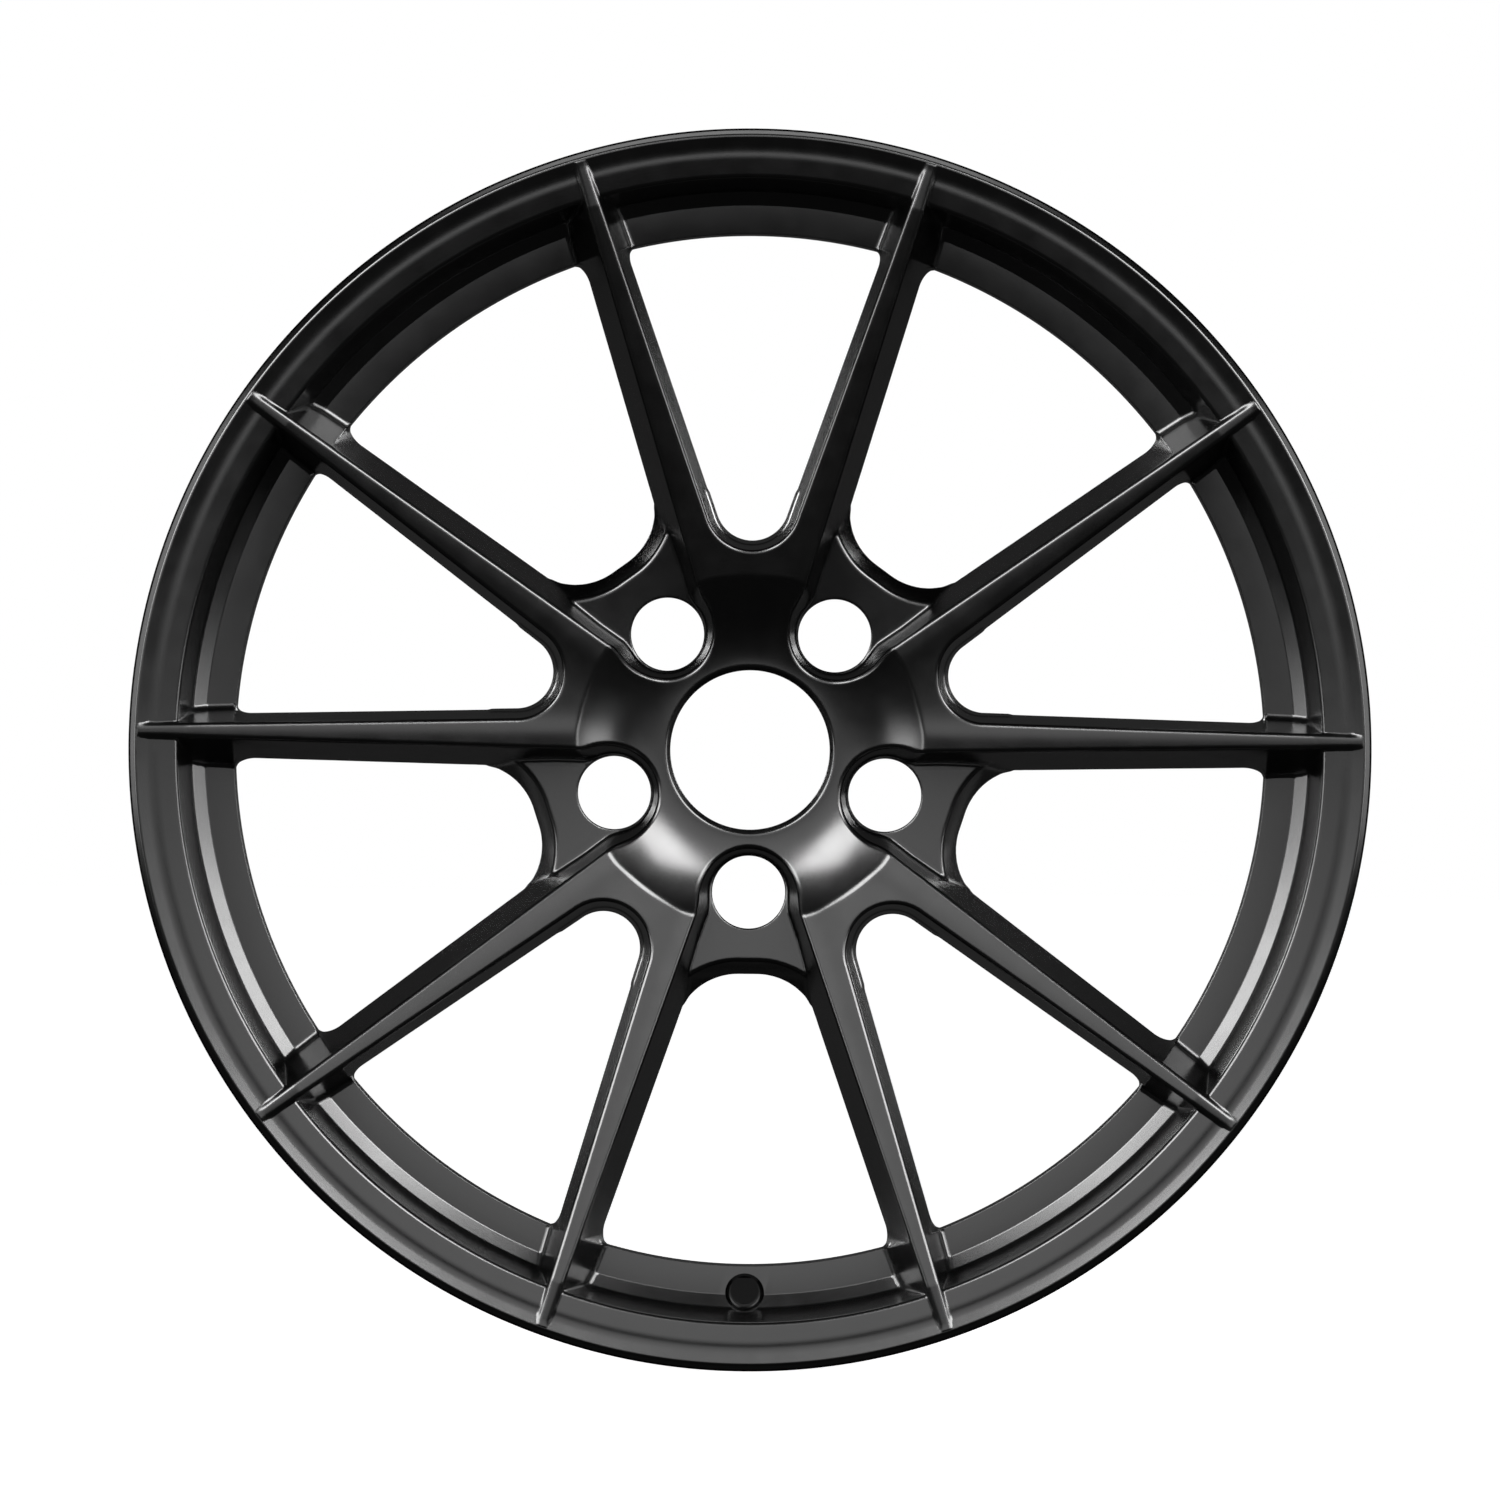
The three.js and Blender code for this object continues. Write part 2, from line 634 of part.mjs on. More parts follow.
function piece(name, geometry, material, azimuth = 0) {
  const mesh = new THREE.Mesh(geometry, material);
  mesh.name = name;
  mesh.rotation.y = azimuth;
  return mesh;
}

function rim() {
  const group = new THREE.Group();
  const valveCut = valveHole();
  group.add(
    piece('outboard_flange', outboardFlange(), satinBlack()),
    piece('outboard_bead_seat', outboardBeadSeat(valveCut), satinBlack()),
    piece('outboard_shoulder', outboardShoulder(valveCut), satinBlack()),
    piece('drop_centre', dropCentre(), satinBlack()),
    piece('barrel_ramp', barrelRamp(), satinBlack()),
    piece('inboard_barrel', inboardBarrel(), satinBlack()),
    piece('inboard_bead_seat', inboardBeadSeat(), satinBlack()),
    piece('inboard_flange', inboardFlange(), satinBlack()),
  );
  return group;
}

function hub() {
  const group = new THREE.Group();
  group.add(
    piece('hub_centre', hubCentre(), satinBlack()),
    piece('mounting_pad', mountingPad(), contactBlack()),
  );
  const webGeometry = lugWeb();
  for (let pair = 0; pair < SPOKE_PAIRS; pair += 1) {
    group.add(piece(`lug_web_${pair + 1}`, webGeometry, satinBlack(), lugAzimuth(pair)));
  }
  return group;
}

// Webs and yokes are numbered clockwise from the top, and so are spokes, from the one right
// of it.
function spokes() {
  const group = new THREE.Group();
  const pairSolid = spokePair();
  const yokeGeometry = yoke(pairSolid);
  const clockwise = spoke(pairSolid, 1);
  const anticlockwise = spoke(pairSolid, -1);
  const count = 2 * SPOKE_PAIRS;
  for (let pair = 0; pair < SPOKE_PAIRS; pair += 1) {
    const azimuth = pair * SECTOR;
    const after = String(2 * pair + 1).padStart(2, '0');
    const before = String(pair === 0 ? count : 2 * pair).padStart(2, '0');
    group.add(
      piece(`spoke_yoke_${pair + 1}`, yokeGeometry, satinBlack(), azimuth),
      piece(`spoke_${after}`, clockwise, satinBlack(), azimuth),
      piece(`spoke_${before}`, anticlockwise, satinBlack(), azimuth),
    );
  }
  return group;
}

const wheel = new THREE.Group();
wheel.name = 'forged_racing_wheel_rim';
wheel.add(rim(), hub(), spokes());

export default wheel;
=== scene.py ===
"""Looks of a bare forged racing wheel rim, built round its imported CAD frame.

The rim's rings are turned from rounded outlines. The hub, webs, yokes and spokes are cut from
one smooth distance field, so their forged edges and fillets run on from piece to piece.
Lengths are in millimetres until a mesh is made. "Forward" runs towards the outboard face, -Y.
"""
import math

import bpy
import numpy as np
from mathutils import Matrix, Vector


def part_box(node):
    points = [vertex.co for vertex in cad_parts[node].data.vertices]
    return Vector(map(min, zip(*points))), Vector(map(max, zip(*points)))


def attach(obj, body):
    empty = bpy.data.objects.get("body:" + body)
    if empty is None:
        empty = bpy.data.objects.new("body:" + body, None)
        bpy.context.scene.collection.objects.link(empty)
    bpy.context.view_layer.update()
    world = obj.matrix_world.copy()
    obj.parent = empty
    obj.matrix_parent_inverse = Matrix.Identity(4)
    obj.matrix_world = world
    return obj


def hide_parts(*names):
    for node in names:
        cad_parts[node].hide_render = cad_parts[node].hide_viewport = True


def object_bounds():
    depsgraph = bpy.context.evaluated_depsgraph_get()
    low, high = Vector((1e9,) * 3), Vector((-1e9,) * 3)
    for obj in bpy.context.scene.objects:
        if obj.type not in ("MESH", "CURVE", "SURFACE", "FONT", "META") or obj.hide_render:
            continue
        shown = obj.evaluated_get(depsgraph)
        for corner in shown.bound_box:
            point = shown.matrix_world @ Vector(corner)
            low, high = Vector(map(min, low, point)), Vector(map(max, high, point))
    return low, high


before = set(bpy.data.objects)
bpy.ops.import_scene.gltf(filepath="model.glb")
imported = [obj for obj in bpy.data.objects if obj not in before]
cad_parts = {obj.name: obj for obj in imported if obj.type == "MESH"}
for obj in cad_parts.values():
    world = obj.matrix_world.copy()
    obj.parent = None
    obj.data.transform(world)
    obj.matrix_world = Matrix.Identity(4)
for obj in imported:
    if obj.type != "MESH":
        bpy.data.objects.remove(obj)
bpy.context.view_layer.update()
MM = 1000.0


def forward_reach(node):
    """How far forward a CAD node's rear and front lie."""
    low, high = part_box(node)
    return -high.y * MM, -low.y * MM


def radius_of(node):
    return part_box(node)[1].z * MM


# Sizes read from the frame
LIP_SEAM, CREST = forward_reach("outboard_flange")
OUTER_RADIUS = radius_of("outboard_flange")
BEAD_RADIUS = radius_of("outboard_bead_seat")
WELL_FRONT, LEDGE = forward_reach("outboard_shoulder")
WELL_REAR = forward_reach("drop_centre")[0]
WELL_OUTER = radius_of("drop_centre")
RAMP_END = forward_reach("barrel_ramp")[0]
BARREL_OUTER = radius_of("inboard_barrel")
BARREL_END = forward_reach("inboard_barrel")[0]
REAR_SEAM = forward_reach("inboard_flange")[1]
PAD_RADIUS = radius_of("mounting_pad")
PAD_REAR, PAD_FRONT = forward_reach("mounting_pad")

# Sizes that the frame's boxes don't give
RIM_WALL = 5.2
WELL_INNER = WELL_OUTER - RIM_WALL
SEAT_FALL = 1.7
HUMP_HEIGHT = 1.1
HUMP_LENGTH = 5
LEDGE_OUTER = WELL_INNER + 11.5
LEDGE_THICKNESS = 10
LEDGE_DRAFT = math.radians(7)
POCKET_DRAFT = math.radians(6)
LIP = CREST - 2.4
WALL_TOP_RADIUS = BEAD_RADIUS - 2
WALL_TOP = LIP - 1.4
WALL_BEND = LEDGE + 3.35
BEND_RADIUS = LEDGE_OUTER + 5.8
CURL_RADIUS = 9.5
BOWL_EDGE = 70
BOWL_DEPTH = 15.5
HUB_TOP = PAD_REAR + 57
FLOOR = PAD_REAR + 34
ROOT_CUT = BOWL_EDGE + 25
ROOT_DEPTH = 36
SPOKE_DEPTH = ROOT_DEPTH * 1.32
HORN_END = ROOT_CUT + 11
TIP_TOP = LIP + 2.1
TIP_START = BEAD_RADIUS - 5
TIP_SLOPE = 0.055
BORE_RADIUS = 32.05
BORE_CHAMFER = 1.8
BOLT_CIRCLE = 57.15
LUG_HOLE_RADIUS = 14.7
POCKET_RADIUS = 15.9
POCKET_SLOPE = math.tan(math.radians(14))
SPOKE_LEAN = 18.1
SPOKE_OFFSET = 3.58
SPOKE_TAPER = 1.285
CROWN_HALF = 6
INNER_HALF = 10.93
OUTER_HALF = 9.83
WIDTH_RADIUS = 152
INNER_RUN = 4
OUTER_RUN = 7.8
FLOOR_RUN = 5
INNER_FLARE, INNER_FLARE_LENGTH = 3.9, 6.5
OUTER_FLARE, OUTER_FLARE_LENGTH = 5.6, 9.0
PAIR_CENTRE = BOWL_EDGE + 28.9
LUG_CENTRE = BOWL_EDGE + 45.6
LUG_ARC = 25
VALVE_RADIUS = 5.65
VALVE_PLACE = WELL_INNER + 9.7

# Edge roundings of the forging
TOP_ROUND = 1.6
CREASE_ROUND = 0.7
FLOOR_FILLET = 1.3
FOOT_FILLET = 2.2
RIDGE_FILLET = 0.9
SPACE_FILLET = 2.0
WEB_ROUND = 1.6
LUG_HOLE_ROUND = 0.5
BORE_ROUND = 0.4
PAD_ROUND = 0.6
BEND_ROUND = 2.5
CROWN = 0.012

# How the pieces run into each other
OVERLAP = 1.3
SUNK_DEPTH = 0.06
WEB_SIDE = 0.8
SINK = 2.0
TIP_RADIUS = OUTER_RADIUS - SINK - RIDGE_FILLET - 1

FLARE_END = 0.995
PAIRS = 5
SECTOR = 2 * math.pi / PAIRS
STEP = 0.55
RING_STEPS = 360
SETTLE_REACH = 0.04
SHADING_REACH = 0.3
SHARP_ANGLE = math.radians(32)


# ---- Distance fields: negative inside material ----

def sharp(*fields):
    """Intersection of solids with a sharp edge."""
    return np.maximum.reduce(fields)


def round_cut(a, b, radius):
    """Intersection of two solids with a rounded edge."""
    out = np.hypot(np.maximum(a + radius, 0), np.maximum(b + radius, 0))
    return np.minimum(np.maximum(a, b), -radius) + out


def fillet_join(a, b, radius):
    """Union of two solids with a fillet in the corner."""
    inside = np.hypot(np.maximum(radius - a, 0), np.maximum(radius - b, 0))
    return np.maximum(np.minimum(a, b), radius) - inside


def spoke_front(r):
    """The front of the spokes, rising from the hub to the lip."""
    slope = (TIP_TOP - HUB_TOP) / (BEAD_RADIUS - BOWL_EDGE)
    along_tip = np.maximum(r - TIP_START, 0)
    return HUB_TOP + slope * (np.minimum(r, TIP_START) - BOWL_EDGE) + TIP_SLOPE * along_tip


def spoke_back(r):
    """The back of the hub and spokes, from the pad out to the ledge."""
    rise = (TIP_TOP - HUB_TOP) * (ROOT_CUT - BOWL_EDGE) / (BEAD_RADIUS - BOWL_EDGE)
    root = HUB_TOP + rise - ROOT_DEPTH
    radii = [PAD_RADIUS, ROOT_CUT, WELL_INNER]
    return np.interp(r, radii, [PAD_FRONT + 0.3, root, LEDGE - LEDGE_THICKNESS])


def pocket_floor(r):
    """The floor of the lug pockets, drafted like the ledge."""
    return FLOOR + (r - BOLT_CIRCLE) * math.tan(POCKET_DRAFT)


def bowl(r):
    """The dished face of the hub."""
    start = BORE_RADIUS + BORE_CHAMFER
    share = np.maximum(r - start, 0) / (BOWL_EDGE - start)
    return HUB_TOP - BOWL_DEPTH + BOWL_DEPTH * share ** 2


def turned_aside(x, z, angle):
    """Coordinates along and across a line that leaves the axis at an angle from +z."""
    along = x * math.sin(angle) + z * math.cos(angle)
    across = x * math.cos(angle) - z * math.sin(angle)
    return along, across


def side_offset(half, taper):
    return half * math.cos(math.radians(taper)) + WIDTH_RADIUS * math.sin(math.radians(taper))


PAIR_LEAN = math.radians(SPOKE_LEAN + SPOKE_TAPER)
PAIR_OFFSET = side_offset(SPOKE_OFFSET + INNER_HALF, SPOKE_TAPER)
PAIR_ARC = PAIR_CENTRE * math.sin(PAIR_LEAN) - PAIR_OFFSET
LUG_LEAN = SECTOR / 2 - math.radians(SPOKE_LEAN - SPOKE_TAPER)
LUG_OFFSET = side_offset(OUTER_HALF - SPOKE_OFFSET, SPOKE_TAPER)
LUG_FLAT = (LUG_CENTRE * math.sin(LUG_LEAN) - LUG_OFFSET - LUG_ARC) / math.cos(LUG_LEAN)


def flare(along, offset, size, length):
    """How far a window's corner at the rim rounds in, and that curve's slope."""
    start = math.sqrt(WELL_INNER ** 2 - offset ** 2) - length
    share = np.clip((along - start) / length, 0, FLARE_END)
    root = np.sqrt(1 - share ** 2)
    return size * (1 - root), np.where(share < FLARE_END, size / length * share / root, 0)


def folded(x, z):
    """A point's place in the half sector right of the nearest pair's middle."""
    azimuth = np.arctan2(x, z)
    near = azimuth - SECTOR * np.round(azimuth / SECTOR)
    r = np.hypot(x, z)
    return r * np.sin(np.abs(near)), r * np.cos(near), r


def lug_frame(x, z):
    """The same point seen from the middle of the lug window beside the pair."""
    along, across = turned_aside(x, z, SECTOR / 2)
    return -across, along


def side_fields(x, z):
    """Distance into the material from the straight sides of the pair's two windows."""
    pair_along, pair_across = turned_aside(x, z, PAIR_LEAN)
    lug_x, lug_z = lug_frame(x, z)
    lug_along, lug_across = turned_aside(lug_x, lug_z, LUG_LEAN)
    return pair_along, pair_across + PAIR_OFFSET, lug_along, lug_across + LUG_OFFSET, lug_x, lug_z


def wheel_centre(x, z, f):
    """Hub, yokes, webs and spokes as one field, without the rim."""
    x, z, r = folded(x, z)
    pair_along, pair_side, lug_along, lug_side, lug_x, lug_z = side_fields(x, z)
    front, back = spoke_front(r), spoke_back(r)
    share = (f - back) / (front - back)

    off_middle = CROWN_HALF * np.tanh((pair_side - INNER_RUN - lug_side + OUTER_RUN) / 2 / CROWN_HALF)
    dish = (f - bowl(r)) * 0.8
    top = round_cut(f - front + CROWN * off_middle ** 2, dish, CREASE_ROUND)

    size, slope = flare(pair_along, PAIR_OFFSET, INNER_FLARE, INNER_FLARE_LENGTH)
    beyond = pair_along - PAIR_CENTRE * math.cos(PAIR_LEAN)
    curved = np.hypot(x, z - PAIR_CENTRE) - PAIR_ARC
    window = np.where(beyond < 0, curved, pair_side)
    pair_wall = (INNER_RUN * share - size * (1 - share) - window) / np.hypot(1.005, slope * (1 - share))

    size, slope = flare(lug_along, LUG_OFFSET, OUTER_FLARE, OUTER_FLARE_LENGTH)
    lug_wall = (lug_side - OUTER_RUN * share + size * (1 - share)) / np.hypot(1.02, slope * (1 - share))
    wedge = sharp(lug_wall, BOLT_CIRCLE - lug_z)
    from_lug = np.hypot(lug_x, lug_z - BOLT_CIRCLE)
    cone = (from_lug - POCKET_RADIUS - (f - FLOOR) * POCKET_SLOPE) * 0.97
    space = fillet_join(cone, wedge, SPACE_FILLET)

    pair = round_cut(round_cut(top, pair_wall, TOP_ROUND), -space, TOP_ROUND)

    beyond = lug_along - (LUG_CENTRE * math.cos(LUG_LEAN) + LUG_FLAT * math.sin(LUG_LEAN))
    from_arc = np.hypot(lug_x - LUG_FLAT, lug_z - LUG_CENTRE)
    curved = np.where(lug_x < LUG_FLAT, LUG_CENTRE - lug_z, from_arc)
    window = np.where(beyond < 0, curved - LUG_ARC, lug_side)
    land = np.minimum(back, spoke_back(HORN_END))
    climb = (f - land) / (FLOOR - land)
    web = round_cut(f - pocket_floor(r), FLOOR_RUN * np.maximum(climb, 0) - window, WEB_ROUND)
    web = round_cut(round_cut(web, r - HORN_END, WEB_ROUND), pair_wall, TOP_ROUND)

    body = fillet_join(pair, web, FLOOR_FILLET)
    body = round_cut(body, (back - f) * 0.9, TOP_ROUND)
    body = round_cut(body, LUG_HOLE_RADIUS - from_lug, LUG_HOLE_ROUND)
    chamfer = (f - r - HUB_TOP + BOWL_DEPTH + BORE_RADIUS + BORE_CHAMFER) / math.sqrt(2)
    bore = sharp(BORE_RADIUS - r, chamfer)
    return round_cut(sharp(body, r - TIP_RADIUS), bore, BORE_ROUND)


def rounded(corners, turn=math.radians(9)):
    """A closed outline of [radius, forward, rounding] corners, with its corners as arcs."""
    points = []
    for i, (r, f, rounding) in enumerate(corners):
        corner = np.array([r, f], float)
        if not rounding:
            points.append(corner)
            continue
        before = np.array(corners[i - 1][:2], float) - corner
        after = np.array(corners[(i + 1) % len(corners)][:2], float) - corner
        before /= np.linalg.norm(before)
        after /= np.linalg.norm(after)
        half = math.acos(np.clip(before @ after, -1, 1)) / 2
        middle = (before + after) / np.linalg.norm(before + after)
        centre = corner + middle * rounding / math.sin(half)
        first = corner + before * rounding / math.tan(half) - centre
        last = corner + after * rounding / math.tan(half) - centre
        swing = math.atan2(first[0] * last[1] - first[1] * last[0], first @ last)
        steps = max(2, math.ceil(abs(swing) / turn))
        for k in range(steps + 1):
            c, s = math.cos(swing * k / steps), math.sin(swing * k / steps)
            points.append(centre + np.array([c * first[0] - s * first[1], s * first[0] + c * first[1]]))
    return np.array(points)


def wall_radius(f):
    """The steep wall between the ledge and the lip, as its radius at a height."""
    return np.interp(f, [LEDGE, WALL_BEND, WALL_TOP], [LEDGE_OUTER, BEND_RADIUS, WALL_TOP_RADIUS])


def ledge_height(r):
    """The ledge, which leans inwards a little like every face of the forging."""
    return LEDGE + (r - LEDGE_OUTER) * math.tan(LEDGE_DRAFT)


LIP_CORNERS = [
    (wall_radius(LIP - 0.6), LIP - 0.6, 2.3),
    (BEAD_RADIUS + 6, LIP + 0.65, 12),
    (BEAD_RADIUS + 9.2, LIP + 0.6, 10),
    (OUTER_RADIUS - 2.6, CREST, 1.4),
    (OUTER_RADIUS, CREST - 4, 3.2),
]


def rim_face(r, f):
    """The rim's outboard face that the spokes' feet stand on, as a distance."""
    outline = rounded([
        (WELL_INNER, WELL_REAR, 0),
        (WELL_INNER, ledge_height(WELL_INNER), 0.4),
        (LEDGE_OUTER, LEDGE, 2),
        (BEND_RADIUS, WALL_BEND, BEND_ROUND),
        *LIP_CORNERS,
        (OUTER_RADIUS, WELL_REAR, 0),
    ])
    nearest = np.full(r.shape, 1e9)
    inside = np.zeros(r.shape, bool)
    for (r0, f0), (r1, f1) in zip(outline, np.roll(outline, -1, axis=0)):
        dr, df = r1 - r0, f1 - f0
        t = np.clip(((r - r0) * dr + (f - f0) * df) / max(dr * dr + df * df, 1e-9), 0, 1)
        nearest = np.minimum(nearest, (r - r0 - t * dr) ** 2 + (f - f0 - t * df) ** 2)
        crosses = (f0 > f) != (f1 > f)
        if df:
            inside ^= crosses & (r < r0 + (f - f0) * dr / df)
    return np.sqrt(nearest) * np.where(inside, -1, 1)


def sunk(past):
    """Lowers a surface a hair where it runs on under its neighbour's."""
    return SUNK_DEPTH * np.clip(past / OVERLAP, 0, 1)


def spoke_solid(x, z, f):
    """One spoke from the yoke to the lip, its foot spread by fillets over the rim's face."""
    r = np.hypot(x, z)
    lug_side = side_fields(x, z)[3]
    body = wheel_centre(x, z, f) + sunk(ROOT_CUT - r)
    body += np.where(r < HORN_END + 6, sunk(WEB_SIDE - lug_side), 0)
    rim = np.full(r.shape, 99.0)
    near = r > WELL_INNER - 12
    rim[near] = rim_face(r[near], f[near])
    fillet = np.interp(f, [LEDGE + 8, LIP - 2], [FOOT_FILLET, RIDGE_FILLET])
    spread = fillet_join(body, rim + 0.02, fillet)
    foot = sharp(spread, -rim - SINK, body - fillet - 0.4, r - TIP_RADIUS - RIDGE_FILLET)
    solid = np.where(near, foot, body)
    past_web = np.minimum(WEB_SIDE - OVERLAP - lug_side, HORN_END + 9 - r)
    root = sharp(ROOT_CUT - OVERLAP - r, past_web)
    return sharp(solid, root, -x)


def yoke_solid(x, z, f):
    r = np.hypot(x, z)
    lug_side = side_fields(*folded(x, z)[:2])[3]
    lowered = sunk(BOWL_EDGE - r) + sunk(r - ROOT_CUT) + sunk(WEB_SIDE - lug_side)
    ends = sharp(BOWL_EDGE - OVERLAP - r, r - ROOT_CUT - OVERLAP, WEB_SIDE - OVERLAP - lug_side)
    return sharp(wheel_centre(x, z, f) + lowered, ends)


def web_solid(x, z, f):
    """The web outside one lug hole, in the frame of the pair to its left."""
    r = np.hypot(x, z)
    lug_side = side_fields(*folded(x, z)[:2])[3]
    lowered = sunk(BOWL_EDGE - r) + sunk(lug_side - WEB_SIDE)
    ends = sharp(BOWL_EDGE - OVERLAP - r, lug_side - WEB_SIDE - OVERLAP, f - pocket_floor(r) - OVERLAP)
    return sharp(wheel_centre(x, z, f) + lowered, ends)


def hub_solid(x, z, f):
    r = np.hypot(x, z)
    lowered = wheel_centre(x, z, f) + sunk(r - BOWL_EDGE)
    return sharp(lowered, r - BOWL_EDGE - OVERLAP, PAD_FRONT - 0.5 - f)


def pad_solid(x, z, f):
    """The mounting pad, with its lug holes and the lightening pockets in its back."""
    x, z, r = folded(x, z)
    half = (PAD_FRONT - PAD_REAR) / 2
    disc = round_cut(r - PAD_RADIUS, np.abs(f - (PAD_FRONT + PAD_REAR) / 2) - half, 1.0)
    lug_x, lug_z = lug_frame(x, z)
    disc = round_cut(disc, LUG_HOLE_RADIUS - np.hypot(lug_x, lug_z - BOLT_CIRCLE), PAD_ROUND)
    chamfer = (PAD_REAR + BORE_CHAMFER - f + BORE_RADIUS - r) / math.sqrt(2)
    disc = round_cut(disc, sharp(BORE_RADIUS - r, chamfer), BORE_ROUND)
    slot = np.hypot(np.maximum(x - 5, 0), z - BOLT_CIRCLE) - 7.5
    pocket = round_cut(slot, f - PAD_REAR - 9, 2.0)
    return round_cut(disc, -pocket, PAD_ROUND)


# ---- Meshes ----

CORNERS = np.array([(i, j, k) for i in (0, 1) for j in (0, 1) for k in (0, 1)])


def skin(field, axes, place):
    """Quads over the zero surface of a field, sampled on a grid that `place` puts in space."""
    value = field(*place(*np.meshgrid(*axes, indexing="ij")))
    inside = value < 0
    cells = tuple(n - 1 for n in value.shape)
    count = np.zeros(cells, np.int8)
    for i, j, k in CORNERS:
        count += inside[i:i + cells[0], j:j + cells[1], k:k + cells[2]]
    base = np.stack(np.nonzero((count > 0) & (count < 8)), axis=1)
    number = np.full(cells, -1)
    number[tuple(base.T)] = np.arange(len(base))
    at_corner = np.stack([value[tuple((base + corner).T)] for corner in CORNERS], axis=1)
    total, hits = np.zeros((len(base), 3)), np.zeros(len(base))
    for a in range(8):
        for b in range(a + 1, 8):
            if np.abs(CORNERS[a] - CORNERS[b]).sum() != 1:
                continue
            cut = (at_corner[:, a] < 0) != (at_corner[:, b] < 0)
            t = at_corner[cut, a] / (at_corner[cut, a] - at_corner[cut, b])
            total[cut] += CORNERS[a] + t[:, None] * (CORNERS[b] - CORNERS[a])
            hits[cut] += 1
    where = base + total / hits[:, None]
    parameters = [np.interp(where[:, n], np.arange(len(axes[n])), axes[n]) for n in range(3)]
    return np.stack(place(*parameters), axis=1), quads_between(inside, number)


def quads_between(inside, number):
    """One quad round each grid edge that crosses the surface."""
    quads = []
    for axis, u_axis, v_axis in ((0, 1, 2), (1, 2, 0), (2, 0, 1)):
        low, high = [slice(1, -1)] * 3, [slice(1, -1)] * 3
        low[axis], high[axis] = slice(0, -1), slice(1, None)
        starts_in, ends_in = inside[tuple(low)], inside[tuple(high)]
        at = np.stack(np.nonzero(starts_in != ends_in), axis=1)
        outward = starts_in[tuple(at.T)]
        at[:, u_axis] += 1
        at[:, v_axis] += 1
        u, v = np.eye(3, dtype=int)[u_axis], np.eye(3, dtype=int)[v_axis]
        quad = np.stack([number[tuple((at - step).T)] for step in (u + v, v, 0 * u, u)], axis=1)
        quad[~outward] = quad[~outward][:, ::-1]
        quads.append(quad)
    return np.concatenate(quads)


def gradient(field, points, reach=SETTLE_REACH):
    """The field's slope at the points, taken over a reach in millimetres."""
    parts = []
    for n in range(3):
        shift = np.zeros(3)
        shift[n] = reach
        ahead, behind = points + shift, points - shift
        parts.append((field(*ahead.T) - field(*behind.T)) / (2 * reach))
    return np.stack(parts, axis=1)


def settle(field, points, limit):
    """Moves points onto the field's zero surface."""
    for _ in range(3):
        slope = gradient(field, points)
        move = field(*points.T)[:, None] * slope / np.maximum((slope ** 2).sum(1), 0.2)[:, None]
        size = np.linalg.norm(move, axis=1)[:, None]
        points = points - move * np.minimum(1, limit / np.maximum(size, 1e-9))
    return points


def steps_between(low, high, step=STEP):
    """Evenly spaced grid lines with one spare cell at each end."""
    count = math.ceil((high - low) / step)
    return low - step + np.arange(count + 3) * step


def to_scene(points):
    """Field coordinates (x, z, forward) as scene coordinates in metres."""
    return np.stack([points[:, 0], -points[:, 2], points[:, 1]], axis=1) / MM


def from_scene(points):
    return np.stack([points[:, 0], points[:, 2], -points[:, 1]], axis=1) * MM


def mesh_from(name, points, faces):
    mesh = bpy.data.meshes.new(name)
    mesh.from_pydata(points.tolist(), [], faces.tolist())
    mesh.update()
    return mesh


def baked(mesh, name, settings):
    """The mesh with modifiers applied. settings lists (modifier type, {property: value})."""
    worker = bpy.data.objects.new(name, mesh)
    bpy.context.scene.collection.objects.link(worker)
    for kind, values in settings:
        modifier = worker.modifiers.new(kind, kind)
        for key, value in values.items():
            setattr(modifier, key, value)
    bpy.context.view_layer.update()
    done = bpy.data.meshes.new_from_object(worker.evaluated_get(bpy.context.evaluated_depsgraph_get()))
    bpy.data.objects.remove(worker)
    done.name = name
    return done


def coordinates(mesh):
    co = np.zeros(len(mesh.vertices) * 3)
    mesh.vertices.foreach_get("co", co)
    return co.reshape(-1, 3)


def field_mesh(name, field, axes, place, keep):
    """A closed mesh of a field's surface, thinned to a share of its triangles.

    It is shaded by the field's own slope.
    """
    points, quads = skin(field, axes, place)
    points = settle(field, points, STEP / 2)
    rough = mesh_from(name + "_rough", to_scene(points), quads)
    mesh = baked(rough, name, [("TRIANGULATE", {}), ("DECIMATE", {"ratio": keep})])
    bpy.data.meshes.remove(rough)
    points = settle(field, from_scene(coordinates(mesh)), 0.05)
    mesh.vertices.foreach_set("co", to_scene(points).reshape(-1))
    slope = gradient(field, points, SHADING_REACH)
    normals = to_scene(slope / np.maximum(np.linalg.norm(slope, axis=1), 1e-6)[:, None]) * MM
    shade(mesh, normals)
    return mesh


def shade(mesh, normals=None):
    mesh.polygons.foreach_set("use_smooth", [True] * len(mesh.polygons))
    mesh.update()
    if normals is not None:
        mesh.normals_split_custom_set_from_vertices(normals.tolist())


def mirrored(mesh, name):
    """The mesh reflected left to right."""
    points = coordinates(mesh) * [-1, 1, 1]
    faces = [tuple(reversed(polygon.vertices)) for polygon in mesh.polygons]
    normals = np.zeros((len(points), 3))
    for loop, corner in zip(mesh.loops, mesh.corner_normals):
        normals[loop.vertex_index] = corner.vector
    twin = bpy.data.meshes.new(name)
    twin.from_pydata(points.tolist(), [], faces)
    shade(twin, normals * [-1, 1, 1])
    return twin


